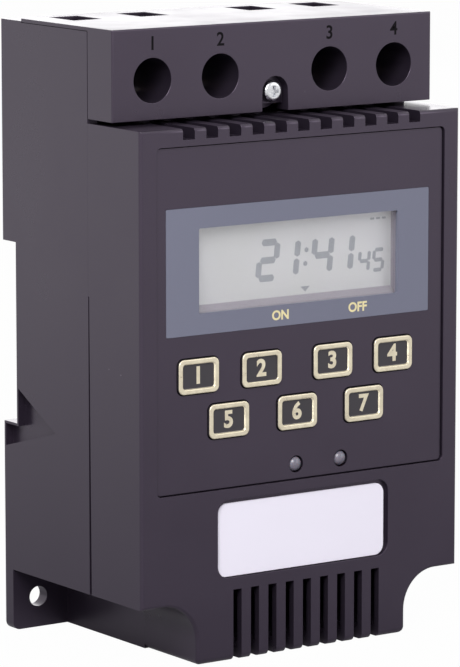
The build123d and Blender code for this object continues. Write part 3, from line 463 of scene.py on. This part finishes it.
figure_segments = {
    "top": ((0, 1), (1, 1)), "middle": ((0, 0.5), (1, 0.5)), "bottom": ((0, 0), (1, 0)),
    "upper_left": ((0, 0.5), (0, 1)), "upper_right": ((1, 0.5), (1, 1)),
    "lower_left": ((0, 0), (0, 0.5)), "lower_right": ((1, 0), (1, 0.5)),
}
lit = {
    "1": ("upper_right", "lower_right"),
    "2": ("top", "upper_right", "middle", "lower_left", "bottom"),
    "4": ("upper_left", "upper_right", "middle", "lower_right"),
    "5": ("top", "upper_left", "middle", "lower_right", "bottom"),
}


def figure(digit, x, z, wide, high, stroke):
    """A seven-segment figure that leans a little, its lower left corner at a place, all in mm."""
    gap = stroke * segment_gap_share
    for name in lit[digit]:
        ends = []
        for share_x, share_z in figure_segments[name]:
            up = share_z * high
            ends.append(Vector((x + share_x * wide + up * math.tan(lean), z + up)))
        along = (ends[1] - ends[0]).normalized() * gap
        segment(ends[0] + along, ends[1] - along, stroke)


large_low_mm = -3.1
for digit, x_mm in (("2", -7.8), ("1", -3.0), ("4", 4.9), ("1", 9.8)):
    figure(digit, x_mm, large_low_mm, wide=3.9, high=6.8, stroke=1.3)
colon_mm = 3.0
dot_half_mm = 0.5
for rise_mm in (2.1, 4.7):
    dot_x_mm = colon_mm + rise_mm * math.tan(lean)
    dot_z_mm = large_low_mm + rise_mm
    segment((dot_x_mm, dot_z_mm - dot_half_mm), (dot_x_mm, dot_z_mm + dot_half_mm), wide_mm=0.9)
small_low_mm = -3.6
for digit, x_mm in (("4", 15.8), ("5", 19.2)):
    figure(digit, x_mm, small_low_mm, wide=2.2, high=3.9, stroke=0.75)
dash_z_mm = 6.4
dash_long_mm = 1.0
for x_mm in (18.5, 19.9, 21.3):
    segment((x_mm, dash_z_mm), (x_mm + dash_long_mm, dash_z_mm), wide_mm=0.4)
marker_r_mm = 1.25
marker_squash = 0.55
marker_x_mm = 3.2
marker_z_mm = -5.7
bpy.ops.mesh.primitive_circle_add(vertices=3, radius=marker_r_mm * MM, fill_type="NGON",
                                  location=(0, 0, 0))
marker = bpy.context.object
marker.scale = (1.0, marker_squash, 1.0)
marker.rotation_euler = (math.pi / 2, math.pi, 0)
marker.location = (cell_x + marker_x_mm * MM, cell_front - segment_thick, cell_z + marker_z_mm * MM)
segments.append(marker)
only(*segments)
bpy.ops.object.transform_apply(location=True, rotation=True, scale=True)
bpy.ops.object.join()
lcd_figures = bpy.context.object
lcd_figures.name = "lcd_figures"
thickness = lcd_figures.modifiers.new("thickness", "SOLIDIFY")
thickness.thickness = segment_thick
thickness.offset = 0
bpy.ops.object.modifier_apply(modifier="thickness")
bpy.ops.object.mode_set(mode="EDIT")
bpy.ops.mesh.select_all(action="SELECT")
bpy.ops.mesh.normals_make_consistent(inside=False)
bpy.ops.object.mode_set(mode="OBJECT")
wear(lcd_figures, segment_grey)
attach(lcd_figures, body_of_node["lcd_cell"])


# The keys
# Black moulded caps. Their raised rims are hot-stamped with pale gold foil, and so is a plain
# number in the sunk field of each.
keys = ("reset", "hour", "minute", "week", "mode", "timer", "clock")
foil_patch_mm = 1.6
foil_crackle_mm = 0.2
foil_relief_mm = 0.03
rim_depth_mm = 0.28
field_depth_mm = 0.4
black_abs = moulded("black_key_abs", "#2b272d", rough=0.4, grain_mm=0.3, grain_depth=0.06, patch_mm=8.0)
gold_foil, tree, place = fresh("pale_gold_foil")
cloud = add(tree, "ShaderNodeTexNoise", Vector=place, Scale=1 / (foil_patch_mm * MM), Detail=4.0)
crackle = add(tree, "ShaderNodeTexNoise", Vector=place, Scale=1 / (foil_crackle_mm * MM), Detail=2.0)
tint = add(tree, "ShaderNodeMixRGB", Fac=cloud.outputs["Fac"], Color1=paint("#c9bda4"),
           Color2=paint("#f3ebd0"))
gloss = add(tree, "ShaderNodeMapRange", Value=cloud.outputs["Fac"], To_Min=0.26, To_Max=0.42,
            **noise_range)
bump = add(tree, "ShaderNodeBump", Height=crackle.outputs["Fac"], Strength=0.12,
           Distance=foil_relief_mm * MM)
shader = add(tree, "ShaderNodeBsdfPrincipled", Base_Color=tint.outputs[0], Roughness=gloss.outputs[0],
             Metallic=0.6, Normal=bump.outputs[0])
add(tree, "ShaderNodeOutputMaterial", Surface=shader.outputs[0])
for number, key in enumerate(keys, start=1):
    node = "key_" + key
    low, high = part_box(node)
    foil_end = low[1] + rim_depth_mm * MM
    cap = softened(node, edge_mm=0.36, cut_y=foil_end)
    wear(cap, black_abs, gold_foil)
    for polygon in cap.data.polygons:
        polygon.material_index = 1 if polygon.center.y < foil_end else 0
    in_field = ((low[0] + high[0]) / 2, low[1] + field_depth_mm * MM, (low[2] + high[2]) / 2)
    lettered("number_" + key, str(number), node, in_field, gold_foil, size_mm=4.4, weight_mm=0.17)


# The plungers and the key switches
# Under each key a small plunger works in a push switch. Both are moulded in black glass-filled
# nylon, whose fibres leave a fine rough grain.
black_nylon = moulded("black_nylon", "#17161a", rough=0.5, grain_mm=0.2, grain_depth=0.15, patch_mm=6.0,
                      specks=False)
for key in keys:
    wear(nodes["plunger_" + key], black_nylon)
wear(nodes["key_switches"], black_nylon)


# The lamps
# Two cast-epoxy diode lamps, unlit, in a milky grey that lets a little light in. They stand in round
# holes of the faceplate.
epoxy_patch_mm = 1.2
epoxy_depth_mm = 1.0
milky_epoxy, tree, place = fresh("milky_grey_epoxy")
cloud = add(tree, "ShaderNodeTexNoise", Vector=place, Scale=1 / (epoxy_patch_mm * MM), Detail=3.0)
tint = add(tree, "ShaderNodeMixRGB", Fac=cloud.outputs["Fac"], Color1=paint("#5f5b66"),
           Color2=paint("#7f7b88"))
gloss = add(tree, "ShaderNodeMapRange", Value=cloud.outputs["Fac"], To_Min=0.25, To_Max=0.35,
            **noise_range)
shader = add(tree, "ShaderNodeBsdfPrincipled", Base_Color=tint.outputs[0], Roughness=gloss.outputs[0],
             IOR=1.55, Subsurface_Weight=0.15, Subsurface_Scale=epoxy_depth_mm * MM)
add(tree, "ShaderNodeOutputMaterial", Surface=shader.outputs[0])
for name in ("power_lamp", "work_lamp"):
    wear(nodes[name], milky_epoxy)


# The label
# A bare plate of white vinyl with rounded corners, stuck in its shallow recess. The film is smooth
# and shows hardly any grain.
white_vinyl = moulded("white_vinyl", "#f3effa", rough=0.42, grain_mm=0.5, grain_depth=0.03,
                      patch_mm=50.0, specks=False, spread=0.015)
wear(nodes["label_plate"], white_vinyl)


# The rail latch and its spring
# The latch is a slide of the same charcoal ABS at the back of the foot. Its spring is hard-drawn
# steel wire, which stands on the lug of the base. The real one shortens as the latch comes down;
# this copy stays whole and moves with its body.
rail_latch = softened("rail_latch", edge_mm=0.2)
wear(rail_latch, charcoal_abs)
spring_steel = metal("drawn_spring_steel", "#9a9a9c", rough=0.3, grain_mm=0.1)
low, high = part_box("latch_spring")
latch_spring = welded("latch_spring")
bpy.ops.object.mode_set(mode="OBJECT")
bpy.ops.object.shade_smooth_by_angle(angle=smooth_angle)
wear(latch_spring, spring_steel)
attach(latch_spring, body_of_node["latch_spring"])
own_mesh(latch_spring)
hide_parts("latch_spring")


# The terminals
# Stamped brass bars, and zinc-plated clamping washers and slotted screws. Each screw draws its
# washer down on the wire, so the two travel together.
stamped_brass = metal("stamped_brass", "#c9aa62", rough=0.3, grain_mm=0.3, stretch=(1.0, 1.0, 5.0),
                      stain=0.14)
for number in terminals:
    wear(nodes["terminal_bar_%d" % number], stamped_brass)
    for node in ("clamp_washer_%d" % number, "terminal_screw_%d" % number):
        wear(nodes[node], zinc_steel)


# The housing screws and the board screws
# Self-cutting pan heads, zinc plated like the cover screw. Those of the housing come from the back
# into the front cover, and the others hold the two boards.
for node in ("housing_screws", "main_board_screws", "display_board_screws"):
    wear(nodes[node], zinc_steel)


# The circuit boards
# Glass-epoxy laminate under green solder mask, with tracks that show as lighter lines and tinned
# pads as small bright dots.
track_mm = 2.513
track_from = 0.72
pad_spacing_mm = 4.0
pad_share = 0.14
board_relief_mm = 0.04
# At a scale of one, Blender's wave texture repeats after this length.
one_wave = math.pi / 10
green_laminate, tree, place = fresh("green_circuit_laminate")
lines = add(tree, "ShaderNodeTexWave", {"bands_direction": "X"}, Vector=place,
            Scale=one_wave / (track_mm * MM), Distortion=3.0, Detail=1.0)
track = add(tree, "ShaderNodeMath", {"operation": "GREATER_THAN"}, i0=lines.outputs["Fac"],
            i1=track_from)
dots = add(tree, "ShaderNodeTexVoronoi", Vector=place, Scale=1 / (pad_spacing_mm * MM))
pad = add(tree, "ShaderNodeMath", {"operation": "LESS_THAN"}, i0=dots.outputs["Distance"], i1=pad_share)
tint = add(tree, "ShaderNodeMixRGB", Fac=track.outputs[0], Color1=paint("#1c5a33"), Color2=paint("#2f7a48"))
tint = add(tree, "ShaderNodeMixRGB", Fac=pad.outputs[0], Color1=tint.outputs[0], Color2=paint("#c8c9c4"))
gloss = add(tree, "ShaderNodeMapRange", Value=pad.outputs[0], To_Min=0.35, To_Max=0.22)
bump = add(tree, "ShaderNodeBump", Height=track.outputs[0], Strength=0.2, Distance=board_relief_mm * MM)
shader = add(tree, "ShaderNodeBsdfPrincipled", Base_Color=tint.outputs[0], Roughness=gloss.outputs[0],
             Metallic=pad.outputs[0], IOR=1.55, Normal=bump.outputs[0])
add(tree, "ShaderNodeOutputMaterial", Surface=shader.outputs[0])
for node in ("main_board", "display_board"):
    wear(nodes[node], green_laminate)


# The contact strips and the flat cable
# The strips are silicone rubber with alternate conducting layers half a millimetre apart. The
# cable is a ribbon of grey PVC with a ridge over each wire.
def striped(name, first, second, pitch_mm, rough, ridge):
    """A material with even stripes across X, such as layers or wires side by side."""
    patch_mm = 2.0
    gloss_swing = 0.06
    relief_mm = 0.2
    made, tree, place = fresh(name)
    wave = add(tree, "ShaderNodeTexWave", {"bands_direction": "X", "wave_profile": "SIN"}, Vector=place,
               Scale=one_wave / (pitch_mm * MM), Distortion=0.0)
    cloud = add(tree, "ShaderNodeTexNoise", Vector=place, Scale=1 / (patch_mm * MM), Detail=3.0)
    tint = add(tree, "ShaderNodeMixRGB", Fac=wave.outputs["Fac"], Color1=paint(first), Color2=paint(second))
    gloss = add(tree, "ShaderNodeMapRange", Value=cloud.outputs["Fac"], To_Min=rough - gloss_swing,
                To_Max=rough + gloss_swing, **noise_range)
    bump = add(tree, "ShaderNodeBump", Height=wave.outputs["Fac"], Strength=ridge, Distance=relief_mm * MM)
    shader = add(tree, "ShaderNodeBsdfPrincipled", Base_Color=tint.outputs[0], Roughness=gloss.outputs[0],
                 IOR=1.45, Normal=bump.outputs[0])
    add(tree, "ShaderNodeOutputMaterial", Surface=shader.outputs[0])
    return made


layered_silicone = striped("layered_silicone", "#c98a97", "#2a2a2c", pitch_mm=0.5, rough=0.6, ridge=0.1)
wear(nodes["zebra_strips"], layered_silicone)
ribbon_pvc = striped("grey_ribbon_pvc", "#8b8b90", "#a9a9ae", pitch_mm=1.27, rough=0.4, ridge=0.6)
wear(nodes["flat_cable"], ribbon_pvc)
cream_nylon = moulded("cream_nylon", "#e6e0cf", rough=0.45, grain_mm=0.25, grain_depth=0.08, patch_mm=5.0,
                      specks=False, spread=0.05)
wear(nodes["cable_sockets"], cream_nylon)


# The parts on the power board
# The relay and the fuse are moulded cases, the capacitors and the varistor are dipped or sleeved,
# and the resistor and the diodes carry painted bands.
def banded(name, node, ground, rough, bands):
    """Paints a node, with bands across X: each its place from the middle, its width and its colour."""
    patch_mm = 1.5
    stain = 0.12
    gloss_swing = 0.05
    low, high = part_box(node)
    made, tree, place = fresh(name)
    cloud = add(tree, "ShaderNodeTexNoise", Vector=place, Scale=1 / (patch_mm * MM), Detail=3.0)
    tint = add(tree, "ShaderNodeMixRGB", Fac=cloud.outputs["Fac"], Color1=paint(ground, 1 - stain),
               Color2=paint(ground, 1 + stain)).outputs[0]
    across = add(tree, "ShaderNodeSeparateXYZ", Vector=place).outputs["X"]
    for band_mm, wide_mm, shade in bands:
        near = add(tree, "ShaderNodeMath", {"operation": "COMPARE"}, i0=across,
                   i1=(low[0] + high[0]) / 2 + band_mm * MM, i2=wide_mm * MM / 2)
        tint = add(tree, "ShaderNodeMixRGB", Fac=near.outputs[0], Color1=tint,
                   Color2=paint(shade)).outputs[0]
    gloss = add(tree, "ShaderNodeMapRange", Value=cloud.outputs["Fac"], To_Min=rough - gloss_swing,
                To_Max=rough + gloss_swing, **noise_range)
    shader = add(tree, "ShaderNodeBsdfPrincipled", Base_Color=tint, Roughness=gloss.outputs[0], IOR=1.5)
    add(tree, "ShaderNodeOutputMaterial", Surface=shader.outputs[0])
    wear(nodes[node], made)


banded("painted_resistor", "power_resistor", "#8fa59b", rough=0.45,
       bands=((-4.5, 1.2, "#5a3a22"), (-2.2, 1.2, "#1c1c1e"), (0.1, 1.2, "#b8860b"), (4.6, 1.2, "#c9a94f")))
banded("banded_diode", "rectifier_diodes", "#1b1b1d", rough=0.4, bands=((-1.7, 0.8, "#c4c4c6"),))
coats = {
    "relay": ("relay_case_pbt", "#23263f", 0.38),
    "film_capacitor": ("yellow_film_case", "#d9a436", 0.32),
    "electrolytic_capacitors": ("shrunk_sleeve_film", "#1d2545", 0.25),
    "varistor": ("dipped_blue_epoxy", "#23498f", 0.3),
    "fuse": ("brown_fuse_case", "#5b3722", 0.42),
    "relay_driver": ("transistor_epoxy", "#1a1a1c", 0.45),
    "clock_chip": ("chip_epoxy", "#202022", 0.5),
}
for node, (name, shade, rough) in coats.items():
    wear(nodes[node], moulded(name, shade, rough, grain_mm=0.3, grain_depth=0.08, patch_mm=6.0,
                              specks=False, spread=0.1))
for node in ("clock_crystal", "backup_battery"):
    wear(nodes[node], metal("nickel_plated_can_" + node, "#c3c4c7", rough=0.22, grain_mm=0.15,
                            stretch=(6.0, 1.0, 1.0), stain=0.08))
